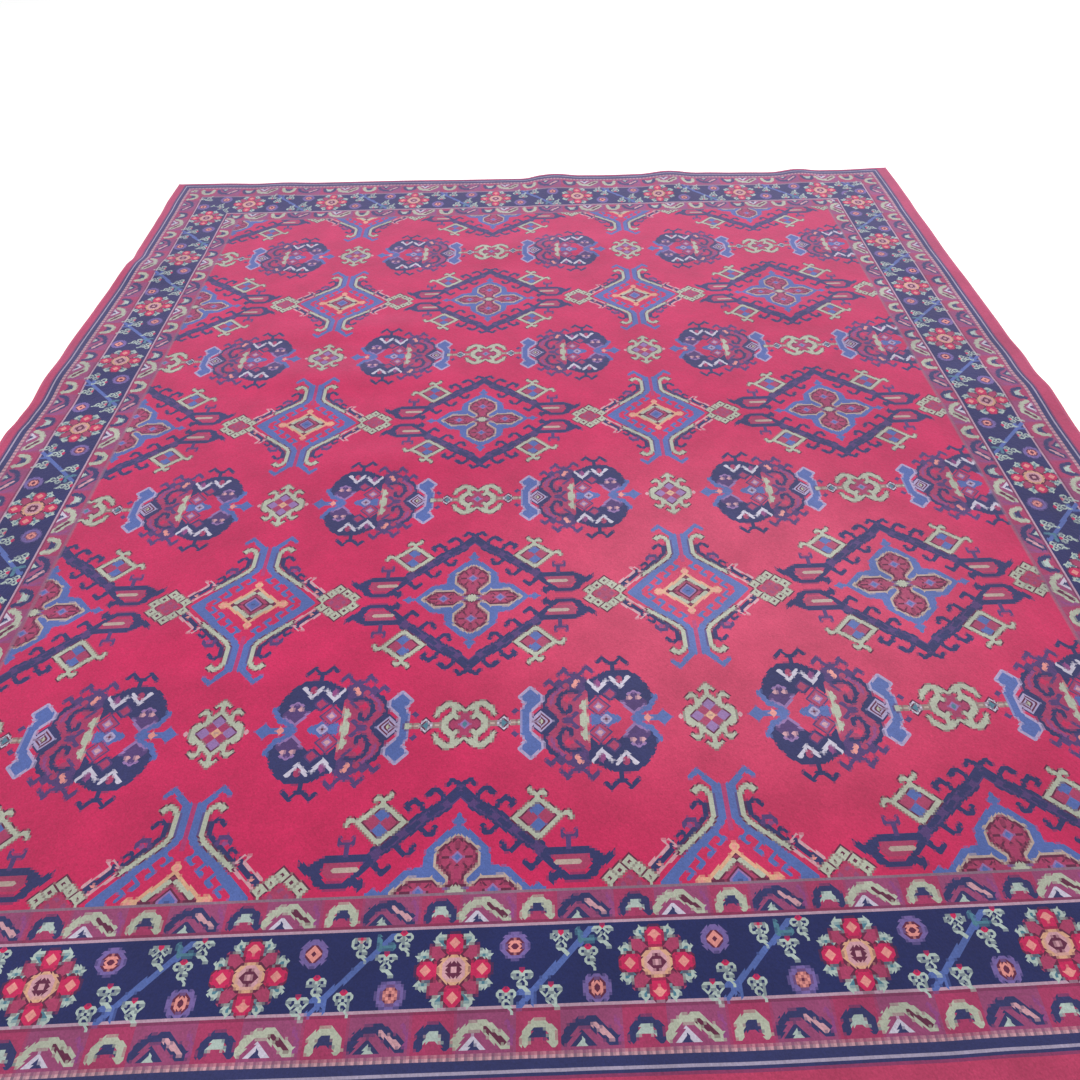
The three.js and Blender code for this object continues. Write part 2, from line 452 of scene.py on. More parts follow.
# %% Palmette


def palmette():
    """Faces right: its thick end is on the right and its cap on the left."""
    chart = blank(42, 38)
    antlers = (
        ("navy", [(12.4, 25), (12.4, 29.6)], [(11, 29.4), (8, 32.8), (6, 30.6)],
         [(13.6, 29.4), (16.4, 32.6), (19.2, 29)]),
        ("plum", [(-4.8, 21), (-4.8, 24.4)], [(-5, 23.8), (-7.8, 24), (-9.6, 27.6), (-12.2, 24)],
         [(-4.6, 23.8), (-2, 24.4), (0.4, 28.2), (3, 25)]),
        ("plum", [(-12.6, 16), (-14.4, 19)], [(-14.2, 18.4), (-16.2, 21), (-18.2, 19)],
         [(-14, 18.4), (-12, 20.8), (-10.4, 19.6)]),
    )
    for dye, *tines in antlers:
        for tine in tines:
            line(chart, dye, 2.0, tine)
    # open half: rose ground inside a dark line
    fill(chart, "rose", [(0, 0), (0, 16), (-6, 20), (-13, 17.6), (-18.6, 11), (-17, 4), (-13, 0)])
    line(chart, "navy", 2.3, [(-13.6, 0), (-15.4, 3), (-19, 7), (-18.8, 11), (-16, 15.2), (-12, 17.8)])
    fill(chart, "plum", [(1, 19), (0, 22.6), (-4.4, 24), (-9.6, 21.6), (-13.8, 18.2), (-12.6, 15.8), (-8, 17),
                         (-5, 13.4), (-1.4, 14)])
    diamond(chart, "rose", (-8.8, 18), 1.7)
    # horseshoe
    fill(chart, "blue", [(20.2, 0.6), (28, 4), (31.6, 11.4), (28.4, 13), (23, 8)])
    fill(chart, "navy", [(20.4, 1.6), (26, 5.8), (28.8, 10), (28.8, 13), (27.2, 17.4), (23.4, 22.6),
                         (18.8, 25.6), (12.6, 26), (8.6, 25.2), (5, 23), (1.4, 21.2), (-1, 19.4), (-0.6, 16),
                         (0.6, 13), (0.8, 8.6), (3.6, 12), (7, 12), (10, 8.6), (12, 10.4), (14.4, 8.4)])
    # curls in the open part
    line(chart, "navy", 2.1, [(-4, 14.6), (-8, 15.2), (-12, 13), (-12.8, 8.4), (-10.6, 4), (-7.4, 4.6),
                              (-7.6, 7)])
    line(chart, "mauve", 1.5, [(-11.4, 16.2), (-15, 12.8), (-16, 8.6)])
    line(chart, "plum", 1.5, [(-1.4, 15.4), (-5.4, 10.4)])
    line(chart, "plum", 1.8, [(-10.4, 0.8), (-7, 1), (-5, 3.6)])
    diamond(chart, "crimson", (-8.7, 11), 2.2)
    line(chart, "salmon", 2.2, [(-5.6, 17.8), (-4.2, 20.2)])
    # chevrons, dots and lines on the horseshoe
    for x, y, dye in ((5.2, 15, "mauve"), (15.2, 16.6, "rose")):
        line(chart, dye, 2.4, [(x, y + 3.2), (x, y + 4.6)])
        line(chart, "ice", 1.7, [(x - 4, y + 5), (x, y), (x + 3.9, y + 5)])
    diamond(chart, "plum", (20.8, 8), 6.0)
    line(chart, "lavender", 1.4, [(15.2, 8.4), (20.4, 2.8), (25.4, 6.4)])
    line(chart, "lavender", 1.2, [(18.6, 12.6), (21, 14), (23.4, 12.6)])
    for x in (19.1, 23.1):
        disc(chart, "pink", (x, 10.6), 1.3)
    nested(chart, diamond, (10.2, 13), ("plum", 3.6), ("rose", 2.6))
    # inside of the horseshoe
    fill(chart, "crimson", [(9, 8.8), (12, 8.8), (19.4, 1.4), (19, 0), (9, 0)])
    nested(chart, diamond, (5, 6.7), ("plum", 5.4), ("rose", 4.4), ("lavender", 2.7), ("pink", 1.5))
    fill(chart, "blue", [(0.8, 0), (1.6, 3.4), (4.4, 2.4), (6, 1.8), (8.6, 4.2), (10.4, 2.4), (12.6, 2.2),
                         (15, 0)])
    nested(chart, diamond, (8.1, 0), ("lilac", 2.8), ("maroon", 1.4))
    fill(chart, "sage", [(0.8, 0), (-0.2, 2.6), (-0.6, 4.4), (-0.2, 6), (-0.2, 11), (-2.2, 9.4), (-3.6, 7.4),
                         (-3, 6), (-1.7, 4.6), (-2.6, 3.2), (-3.8, 1.6), (-3.2, 0)])
    # arrow at the thick end
    line(chart, "blue", 3.2, [(20.5, 0), (34, 0)])
    line(chart, "blue", 2.4, [(20.6, 1), (28, 6.4), (30.4, 10.4)])
    diamond(chart, "blue", (33, 0), 4.2, 4.4)
    diamond(chart, "salmon", (26.2, 0), 1.9)
    # stepped diamond and cap
    nested(chart, diamond, (-20.2, 0), ("navy", 6.6), ("lilac", 5.4), ("maroon", 4.2), ("lilac", 3.2),
           ("maroon", 2), ("sage", 1.2))
    fill(chart, "lilac", [(-24.2, 0), (-24.2, 4.4), (-19.2, 10), (-19.2, 13.6), (-25, 18.8), (-30.6, 13.2),
                          (-28, 9), (-29.6, 6), (-29.6, 0)])
    fill(chart, "blue", [(-25.4, 0), (-25.4, 5), (-20.6, 10.4), (-20.6, 13.2), (-25, 17.2), (-29.2, 13),
                         (-26.6, 9.4), (-28.9, 5.6), (-28.9, 0)])
    diamond(chart, "plum", (-31.8, 5.6), 1.9)
    both_ways(chart)
    return chart


palm = palmette()
print("palmette:", np.count_nonzero(palm), "dots")

# %% [markdown]
# ## Two small figures
# Between two caps lies a scroll of four sage curls on a thin stem. Between two thick ends lies a small
# diamond with hooks. The thin maroon edge round their pale parts is half a knot wide, as in the photo.

# %% Scroll and hooked diamond


def scroll():
    chart = blank(30, 16)
    fill(chart, "rose", [(8, 0), (6.6, 2.4), (3.6, 3.2), (1.8, 5.8), (0, 6.6), (0, 0)])
    curl = (
        (2.2, [(12.7, 4.8), (11.4, 7.6)]), (3.0, [(11, 8), (8, 10.4), (5.4, 10.2), (2.8, 8.6)]),
        (1.8, [(3, 8.4), (0, 7)]), (1.7, [(5.1, 9), (5.1, 5)]),
        (3.2, [(5, 4.8), (7.6, 3.2), (9.4, 0)]), (2.4, [(3.6, 3.6), (5.6, 5.4)]),
    )
    for width, points in curl:
        line(chart, "sage", width, points)
    line(chart, "cream", 1.6, [(11, 0), (25, 0)])
    fill(chart, "sage", [(23.2, 0.8), (24.4, 1.7), (26, 1.5), (26, 0), (22, 0)])
    nested(chart, diamond, (16.8, 0), ("ice", 3.6, 3.8), ("teal", 2.2, 2.4))
    nested(chart, diamond, (0, 0), ("lavender", 2.6), ("teal", 1.4))
    for dye in ("sage", "cream", "ice"):
        edged(chart, dye, "maroon")
    four_ways(chart)
    return chart


def hooked_diamond():
    chart = blank(16, 20)
    line(chart, "sage", 2.4, [(10.4, 0), (0, 10.4)])
    line(chart, "sage", 2.3, [(10.4, 0.6), (10, 3), (8.4, 4.4)])
    line(chart, "sage", 2.0, [(4.8, 6.4), (5.4, 10), (7.2, 11.2), (8.8, 9.6)])
    line(chart, "sage", 2.2, [(0, 10), (0, 14)])
    fill(chart, "sage", [(0, 17.4), (4, 13.2), (3.2, 12.2), (1.6, 13.4), (0, 12.8)])
    diamond(chart, "rose", (0, 0), 9.0)
    for x, y in ((6.1, 0), (0, 6.1)):
        diamond(chart, "lavender", (x, y), 3.1)
    nested(chart, diamond, (0, 0), ("peach", 2.6), ("slate", 1.0))
    diamond(chart, "pink", (12.8, 0), 1.3)
    edged(chart, "sage", "maroon")
    four_ways(chart)
    return chart


curls, hooked = scroll(), hooked_diamond()
print("scroll and diamond:", np.count_nonzero(curls), np.count_nonzero(hooked), "dots")

# %% [markdown]
# ## The border's figures
# The narrow borders have a row of leaves and domes, light and dark in turn. Figures are laid on a chart
# like stamps: a figure is drawn once, and only its dyed dots cover the ground.

# %% Figures of the narrow borders


def stamp(chart, motif, middle):
    """Lays a motif on a chart with its middle at a place in knots. Bare dots leave the ground alone."""
    rows, columns = motif.shape
    left = round(middle[0] * DOTS + chart.shape[1] / 2 - columns / 2)
    low = round(middle[1] * DOTS + chart.shape[0] / 2 - rows / 2)
    x0, y0 = max(left, 0), max(low, 0)
    x1, y1 = min(left + columns, chart.shape[1]), min(low + rows, chart.shape[0])
    if x0 >= x1 or y0 >= y1:
        return
    patch = motif[y0 - low:y1 - low, x0 - left:x1 - left]
    target = chart[y0:y1, x0:x1]
    target[patch > 0] = patch[patch > 0]


def minor_leaf(leaf, bar, triangle, core):
    """An arc that ends in a broad leaf, over a small hill."""
    chart = blank(13, 7)
    line(chart, leaf, 3.0, [(-8.2, -2.4), (-6.2, 1.2), (-3, 3), (1, 3.2)])
    fill(chart, leaf, [(-1, 4.8), (2.6, 4.8), (10.6, -2), (10, -4.4), (6.8, -4.4), (-1, 1.8)])
    line(chart, bar, 1.7, [(1.6, 2.2), (7.6, -2.4)])
    fill(chart, triangle, [(-6.4, -4.4), (-2.4, 0.2), (2.4, -4.4)])
    fill(chart, core, [(-4.2, -4.4), (-2.4, -2), (-0.2, -4.4)])
    return chart


def minor_dome(dome, core):
    chart = blank(8, 7)
    line(chart, dome, 3.0, [(-4.6, -2.8), (-3.6, 1.2), (-1, 3), (1.6, 3), (4.2, 1), (4.8, -3)])
    fill(chart, core, [(-3.4, -2.6), (-1.4, 1.8), (1.8, 1.8), (3.6, -2.6), (1.4, -1.6), (-1, -1.6)])
    return chart


print("dome:", np.count_nonzero(minor_dome("sage", "navy")), "dots")

# %% [markdown]
# The main border repeats a rosette, a slanting branch with three pale heads on either side of it, and two
# small round flowers. The rosette is drawn by turning a few outlines about its middle, a quarter at a time.

# %% Figures of the main border


def rosette():
    """Four red petals with a bright spot, and between them four darker ones, each between two pale blades."""
    chart = blank(18, 18)

    def lobe(dye, angle, points):
        cosine, sine = math.cos(math.radians(angle)), math.sin(math.radians(angle))
        fill(chart, dye, [(away * cosine - aside * sine, away * sine + aside * cosine)
                          for away, aside in points])

    for quarter in (0, 90, 180, 270):
        for way in (-1, 1):
            blade = quarter + 45 + 20 * way
            lobe("mist", blade, [(7, -2), (12.4, -2.4), (14.6, 0.8 * way), (12.4, 2.4), (7, 2)])
            lobe("teal", blade, [(9, -0.6), (12.6, -0.6), (12.6, 0.6), (9, 0.6)])
        lobe("maroon", quarter + 45, [(4, -2.4), (10, -2.8), (13, 0), (10, 2.8), (4, 2.4)])
        lobe("red", quarter + 45, [(4, -1.8), (10, -2.2), (12.4, 0), (10, 2.2), (4, 1.8)])
    for quarter in (0, 90, 180, 270):
        lobe("maroon", quarter, [(4, -2.8), (10, -4), (13.6, -2), (13.6, 2), (10, 4), (4, 2.8)])
        lobe("crimson", quarter, [(4, -2.2), (10, -3.2), (13, -1.6), (13, 1.6), (10, 3.2), (4, 2.2)])
        lobe("salmon", quarter, [(7.8, 0), (9.8, -2), (11.8, 0), (9.8, 2)])
    nested(chart, disc, (0, 0), ("maroon", 6.2), ("peach", 5.4), ("pink", 4.2), ("maroon", 2.8),
           ("pink", 1.2))
    return chart


def trefoil():
    """Three pale heads with a dark eye each, and a red bud."""
    chart = blank(6, 6)
    line(chart, "mist", 1.2, [(0.4, -2), (2, -4.8)])
    for middle in ((-1.9, 1.4), (1.9, 1.4), (0.2, -1.8)):
        nested(chart, disc, middle, ("mist", 1.75), ("indigo", 0.75))
    disc(chart, "crimson", (0, 2.8), 0.9)
    return chart


def small_rosette():
    chart = blank(6, 6)
    nested(chart, disc, (0, 0), ("violet", 5), ("maroon", 3.1), ("salmon", 2.3), ("maroon", 1))
    return chart


def branch():
    chart = blank(22, 16)
    line(chart, "blue", 2.2, [(-13, -13.4), (-8.8, -8.6), (0, 0), (8.5, 8), (13, 13)])
    line(chart, "blue", 1.8, [(-12.8, -8.6), (-8.6, -8.4), (-8.2, -12.4)])
    line(chart, "teal", 1.8, [(8.2, 12.6), (9, 8.6), (13.6, 9)])
    return chart


print("rosette:", np.count_nonzero(rosette()), "dots")

# %% [markdown]
# ## Border strips
# A border is a set of straight bands, from the field out to the plain edge. They are laid down first, then
# a beaded line, then the figures at their pitch. Each of the four sides is cut from such a strip. The ends
# and the sides have almost the same pitch, and the phase says where a rosette stands.

# %% Border strips
RUG = (644, 720)  # knots across and along
BORDER_DEPTH = 80  # knots, enough for the bands and the plain edge
BANDS = [  # knots out from the field, dye
    (0, "slate"), (1, "mulberry"), (12, "maroon"), (12.5, "thistle"), (13.5, "indigo"), (41.5, "thistle"),
    (42.5, "maroon"), (43, "mulberry"), (56.5, "pink"), (58.5, "navy"), (61.5, "steel"), (62.5, "navy"),
    (64, "faded"),
]
MINOR_MIDDLES = (7.2, 50.4)  # knots out from the field
MAIN_MIDDLE = 28.4
DOMES = (29.5, 65.5)  # knots on from a rosette
DOME_GROUND = 7.5  # the domes stand on a redder ground, so far to either side
BEAD = 1.5
END_PITCH, END_PHASE = 71.5, 36.55
SIDE_PITCH, SIDE_PHASE = 71.8, -2.6


def twig():
    chart = blank(3, 5)
    line(chart, "mauve", 1.4, [(-1, 4), (0.6, 1), (0.4, -3)])
    return chart


# figure, knots on from a rosette
MINOR_ROW = [
    (minor_leaf("sage", "maroon", "ice", "navy"), 10), (minor_dome("sage", "navy"), DOMES[0]),
    (minor_leaf("navy", "pink", "navy", "mist"), 46.5), (minor_dome("navy", "mist"), DOMES[1]),
    (twig(), 20), (twig(), 56.5),
]
# figure, knots on from halfway between two rosettes, knots out from the field
MAIN_ROW = [
    (branch(), 0, MAIN_MIDDLE), (small_rosette(), -14.4, 21), (small_rosette(), 14.4, 36.6),
    (trefoil(), -11.6, 32.4), (trefoil(), -17.4, 39), (trefoil(), -2, 38.2), (trefoil(), 2, 19.6),
    (trefoil(), 11.8, 25), (trefoil(), 17.4, 17.4),
]


def border_strip(length, pitch, phase):
    """A straight border, with the field at the top of the chart and the edge at the bottom."""
    chart = np.zeros((BORDER_DEPTH * DOTS, length * DOTS), np.int8)
    along = dots(chart)[0][0]
    outward = BORDER_DEPTH - (np.arange(BORDER_DEPTH * DOTS) + 0.5) / DOTS
    for start, dye in BANDS:
        chart[outward >= start] = INDEX[dye]
    bands = chart[:, 0].copy()
    for place in DOMES:
        redder = np.abs((along - phase - place + pitch / 2) % pitch - pitch / 2) < DOME_GROUND
        chart[np.ix_(bands == INDEX["mulberry"], redder)] = INDEX["rose"]
    chart[np.ix_(bands == INDEX["pink"], np.floor(along / BEAD) % 2 == 0)] = INDEX["slate"]
    repeats = int(length / 2 / pitch) + 2
    for turn in range(-repeats, repeats):
        middle = turn * pitch + phase
        for motif, place in MINOR_ROW:
            for outward_at in MINOR_MIDDLES:
                stamp(chart, motif, (middle + place, BORDER_DEPTH / 2 - outward_at))
        for motif, place, outward_at in MAIN_ROW:
            stamp(chart, motif, (middle + pitch / 2 + place, BORDER_DEPTH / 2 - outward_at))
        stamp(chart, rosette(), (middle, BORDER_DEPTH / 2 - MAIN_MIDDLE))
    return chart


ends = border_strip(RUG[0], END_PITCH, END_PHASE)
sides = border_strip(RUG[1], SIDE_PITCH, SIDE_PHASE)
print("border strips:", ends.shape[1], "and", sides.shape[1], "dots long")

# %% [markdown]
# ## The whole chart
# The field is a lattice: medallions of the two kinds in turn along one row, palmettes and small figures
# along the next. The border cuts through it wherever it falls, as it does on the real rug. At the corners
# the borders meet on the slant. The near border was beaten down tighter than the far one, so each has its
# own stretch.

# %% The whole chart
FIELD = {"left": -251.5, "right": 248.5, "near": -289.2, "far": 283.5}
COLUMN_PITCH, ROW_PITCH = 107, 72
FIRST_COLUMN, FIRST_ROW = -143, -288.5
FAR_STRETCH, NEAR_STRETCH = 1.13, 0.94


def rug_chart():
    chart = np.full((RUG[1] * DOTS, RUG[0] * DOTS), INDEX["crimson"], np.int8)
    for column in range(-2, 6):
        for row in range(-1, 11):
            x = FIRST_COLUMN + column * COLUMN_PITCH
            y = FIRST_ROW + row * ROW_PITCH
            if row % 2 == 0:
                stamp(chart, arms if column % 2 == 0 else lozenge, (x, y))
            else:
                stamp(chart, hooked if column % 2 == 0 else curls, (x, y))
                stamp(chart, palm[:, ::-1] if column % 2 == 0 else palm, (x + COLUMN_PITCH / 2, y))
    x, y = dots(chart)
    beyond = {
        "left": FIELD["left"] - x, "right": x - FIELD["right"],
        "near": (FIELD["near"] - y) / NEAR_STRETCH, "far": (y - FIELD["far"]) / FAR_STRETCH,
    }
    most = np.max(np.stack(list(beyond.values())), axis=0)
    for side, reach in beyond.items():
        here = (reach == most) & (reach > 0)
        strip, along = (ends, x) if side in ("near", "far") else (sides, -y)
        column = np.clip((along * DOTS + strip.shape[1] / 2).astype(int), 0, strip.shape[1] - 1)
        row = np.clip(strip.shape[0] - 1 - (reach * DOTS).astype(int), 0, strip.shape[0] - 1)
        chart[here] = strip[row[here], column[here]]
    return chart


chart = rug_chart()
print("chart:", chart.shape[1], "by", chart.shape[0], "dots")

# %% [markdown]
# ## The form of the rug
# A big rug is never quite straight: its sides wander by some millimetres, and low ripples stay from the
# time it was rolled. The CAD solid has both, from three short tables. The same tables stand here, in
# millimetres, so that the outline and the ripples are those of the solid.

# %% Form: tables
RUG_WIDTH, RUG_LENGTH = 3350, 3745
SIDE_WAVER = [  # y, left, right
    (-1872, 0, 0), (-1300, -5, 0), (-700, 1, -4), (-150, 12, -2), (0, 16, 3), (70, 7, 4),
    (160, 1, -5), (280, 6, 3), (390, 2, -3), (520, 9, -1), (760, 3, -1), (910, 0, -6),
    (1080, -11, -2), (1140, -18, 0), (1230, -8, 2), (1400, -5, 2), (1540, -1, 7), (1716, 8, 9),
    (1872, 8, 8),
]
END_WAVER = [  # x, near, far
    (-1675, 0, 20), (-1480, 2, 18), (-1240, 5, 2), (-640, -2, 2), (-300, 1, -6), (-60, 3, -9),
    (20, 4, 14), (200, 6, 15), (340, 8, 10), (640, 6, 17), (800, 2, 14), (960, -1, 4),
    (1110, -4, -3), (1220, -4, 9), (1440, -2, 5), (1675, 0, 19),
]
RIPPLES = [  # x, y, height, slope, run, turn in degrees
    (-1590, 1060, 12, 165, 360, -6), (1605, 90, 7, 190, 430, 9), (1560, 900, 6, 170, 260, -4),
    (-1600, 330, 8, 210, 300, 5), (-720, 262, 9, 135, 620, -3), (-620, 560, 6, 115, 480, 2),
    (-430, -190, 7, 125, 400, 6), (0, 1150, 8, 170, 560, 1), (880, 640, 6, 150, 420, -7),
    (-960, -830, 7, 140, 420, 12), (470, -930, 7, 165, 460, -5), (90, 1850, 10, 130, 300, 90),
    (630, 1840, 11, 140, 330, 84), (1250, 1850, 8, 110, 240, 92), (-1180, 1790, 6, 170, 240, 95),
    (1080, -1780, 7, 180, 280, 92),
]
FADE = 8  # the power that keeps a waver near its edge
GRID = (49, 53)  # points of the CAD solid's sheet, across and along
print("ripples:", len(RIPPLES))

# %% [markdown]
# Between two rows of a table the edge is eased, so it has no corner. A waver fades towards the middle of
# the rug, as the cloth takes it up. It fades sooner here than in the solid, which leaves the outline as it is
# and keeps the pattern straight. A ripple is a long hump: its height falls off on both sides and at both ends.

# %% Form: functions


def eased(table, column, place):
    """A column of a table at many places, eased between its rows."""
    rows = np.array(table, float)
    after = np.clip(np.searchsorted(rows[:, 0], place), 1, len(rows) - 1)
    start, end = rows[after - 1], rows[after]
    share = np.clip((place - start[..., 0]) / (end[..., 0] - start[..., 0]), 0, 1)
    share = share * share * (3 - 2 * share)
    return start[..., column] + (end[..., column] - start[..., column]) * share


def hump(distance):
    return np.sin(np.maximum(0, 1 - np.abs(distance)) * math.pi / 2) ** 2


def wavered(x, y):
    """The place, in millimetres, that a point of a straight rug has in the uneven one."""
    across, along = x / (RUG_WIDTH / 2), y / (RUG_LENGTH / 2)
    sideways = np.where(x > 0, eased(SIDE_WAVER, 2, y), eased(SIDE_WAVER, 1, y))
    lengthways = np.where(y > 0, eased(END_WAVER, 2, x), eased(END_WAVER, 1, x))
    return x + sideways * across ** FADE * np.sign(x), y + lengthways * along ** FADE * np.sign(y)


def lift(x, y):
    """How high the ripples lift the rug from the floor, in millimetres."""
    height = np.zeros(np.shape(x))
    for middle_x, middle_y, crest, slope, run, turn in RIPPLES:
        cosine, sine = math.cos(math.radians(turn)), math.sin(math.radians(turn))
        along = (x - middle_x) * cosine + (y - middle_y) * sine
        across = (y - middle_y) * cosine - (x - middle_x) * sine
        height += crest * hump(across / slope) * hump(along / run)
    return height


outline_x, outline_y = wavered(*np.meshgrid(np.linspace(-RUG_WIDTH / 2, RUG_WIDTH / 2, GRID[0]),
                                            np.linspace(-RUG_LENGTH / 2, RUG_LENGTH / 2, GRID[1])))
SHIFT_X = (CAD_LOW[0] + CAD_HIGH[0]) / 2 / MM - (outline_x.min() + outline_x.max()) / 2
SHIFT_Y = (CAD_LOW[1] + CAD_HIGH[1]) / 2 / MM - (outline_y.min() + outline_y.max()) / 2
print("shift to the frame:", round(SHIFT_X, 2), round(SHIFT_Y, 2), "mm")


def placed(x, y, height):
    """Points of the rug as they lie, in metres. Height is in millimetres, from the cloth's floor side."""
    true_x, true_y = wavered(x, y)
    points = np.stack([true_x + SHIFT_X, true_y + SHIFT_Y, lift(x, y) + height], axis=-1)
    return points * MM


# %% [markdown]
# ## The pile
# Half a million tufts as separate hairs would be far too heavy. At this distance a tuft is a soft spot of
# one colour, so the pile is a sheet with a square for each knot. Small rises and dips at the corners stand
# for the uneven tips of the tufts, and slower ones for wear. The last rows bend down to the edge of the
# rug.

# %% Pile: heights
KNOT_MM = 5.2
PILE_TOP = 9.0  # millimetres above the floor, as are the next
PILE_EDGE = [3.6, 7.4, 9.3]  # the three outermost rows of points
TUFT_TIPS = 0.28  # how far tips differ, to either side
WEAR = 0.5
WEAR_WAVES = ((24, 0.7), (7, 0.3))  # knots in a wave, share of the wear
rng = np.random.default_rng(11)
knots_across, knots_along = RUG
grid_x, grid_y = np.meshgrid((np.arange(knots_across + 1) - knots_across / 2) * KNOT_MM,
                             (np.arange(knots_along + 1) - knots_along / 2) * KNOT_MM)


def soft_noise(shape, step, generator):
    """Smooth random values from -1 to 1, with about one wave in each step."""
    rows, columns = shape[0] // step + 3, shape[1] // step + 3
    coarse = generator.uniform(-1, 1, (rows, columns))
    x, y = np.meshgrid(np.linspace(0, columns - 1.001, shape[1]), np.linspace(0, rows - 1.001, shape[0]))
    left, low = x.astype(int), y.astype(int)
    across, up = x - left, y - low
    across, up = across * across * (3 - 2 * across), up * up * (3 - 2 * up)
    lower = coarse[low, left] * (1 - across) + coarse[low, left + 1] * across
    upper = coarse[low + 1, left] * (1 - across) + coarse[low + 1, left + 1] * across
    return lower * (1 - up) + upper * up


tuft_tips = rng.uniform(-1, 1, grid_x.shape) * TUFT_TIPS
worn = sum(soft_noise(grid_x.shape, knots, rng) * share for knots, share in WEAR_WAVES)
pile_height = PILE_TOP + tuft_tips + worn * WEAR
column_from_edge = np.minimum(np.arange(knots_across + 1), np.arange(knots_across + 1)[::-1])
row_from_edge = np.minimum(np.arange(knots_along + 1), np.arange(knots_along + 1)[::-1])
from_edge = np.minimum(column_from_edge[None, :], row_from_edge[:, None])
for ring, height in enumerate(PILE_EDGE):
    pile_height = np.where(from_edge == ring, height, pile_height)
pile_points = placed(grid_x, grid_y, pile_height)
print("pile points:", pile_points.shape[0] * pile_points.shape[1])

# %% [markdown]
# Each square of the pile is cut in two triangles. Where the edge of a figure crosses the knot at a corner,
# the cut follows it and each half takes its own dye. Where it doesn't, both halves take the mean of the
# four dots. The dyes aren't even. Wool takes up more or less of a bath, so a weaver's new lot shows as a
# band across the rug, which is called abrash, and each tuft differs a little from the next.

# %% Pile: dyes for each triangle
TUFT_TINT, LOT_TINT = 0.05, 0.04
LOT_KNOTS = 30  # rows woven from one lot of yarn
dye_colours = np.array([linear("#000000")] + [linear(DYES[name]) for name in NAMES[1:]])[:, :3]
low_left, low_right = chart[0::2, 0::2], chart[0::2, 1::2]
high_left, high_right = chart[1::2, 0::2], chart[1::2, 1::2]
# a lone dot in one corner of a knot gets the half on its side of the diagonal
falling = (low_right == high_left) & ((low_right == high_right) != (low_right == low_left))
rising = (low_left == high_right) & ((low_left == low_right) != (low_left == high_left))
mean_colour = sum(dye_colours[corner] for corner in (low_left, low_right, high_left, high_right)) / 4
first_half = np.where(rising[..., None], dye_colours[low_right],
                      np.where(falling[..., None], dye_colours[low_left], mean_colour))
second_half = np.where(rising[..., None], dye_colours[high_left],
                       np.where(falling[..., None], dye_colours[high_right], mean_colour))
lot_places = np.arange(0, knots_along + LOT_KNOTS, LOT_KNOTS)
abrash = np.interp(np.arange(knots_along), lot_places, rng.uniform(-1, 1, len(lot_places)))
tuft_tints = TUFT_TINT * rng.normal(size=(knots_along, knots_across, 2, 1))
tint = 1 + tuft_tints + LOT_TINT * abrash[:, None, None, None]
triangle_colours = np.clip(np.stack([first_half, second_half], axis=2) * tint, 0, 1)
print("knots:", knots_across * knots_along)

# %% [markdown]
# Blender can take a mesh as lists of points and faces, but whole arrays go far quicker with a million
# triangles. The dye is kept on the faces, so no colour bleeds over the edge of a figure. A picture map is
# added where the piece will carry one.

# %% A mesh from arrays


def mesh_from(name, points, triangles, colours=None, uvs=None):
    mesh = bpy.data.meshes.new(name)
    mesh.vertices.add(len(points))
    mesh.vertices.foreach_set("co", np.ascontiguousarray(points, np.float32).ravel())
    mesh.loops.add(triangles.size)
    mesh.loops.foreach_set("vertex_index", np.ascontiguousarray(triangles, np.int32).ravel())
    mesh.polygons.add(len(triangles))
    mesh.polygons.foreach_set("loop_start", np.arange(0, triangles.size, triangles.shape[1], dtype=np.int32))
    mesh.polygons.foreach_set("use_smooth", np.ones(len(triangles), bool))
    if colours is not None:
        layer = mesh.attributes.new("dye", "FLOAT_COLOR", "FACE")
        layer.data.foreach_set("color", np.c_[colours, np.ones(len(colours))].astype(np.float32).ravel())
    if uvs is not None:
        mesh.uv_layers.new(name="OFBake").data.foreach_set("uv", uvs.astype(np.float32).ravel())
    mesh.update(calc_edges=True)
    mesh.validate()
    piece = bpy.data.objects.new(name, mesh)
    bpy.context.scene.collection.objects.link(piece)
    return piece


print("dyed triangles to come:", triangle_colours[..., 0].size)

# %% [markdown]
# The sheet is made in seven lengths, side by side, because one mesh of that size is unhandy. They meet on
# the same points and share the normals of the whole pile, so no joint shows. A length is eight times as
# long as it is wide, so its picture map is laid in three runs side by side, which fills a square picture
# better.

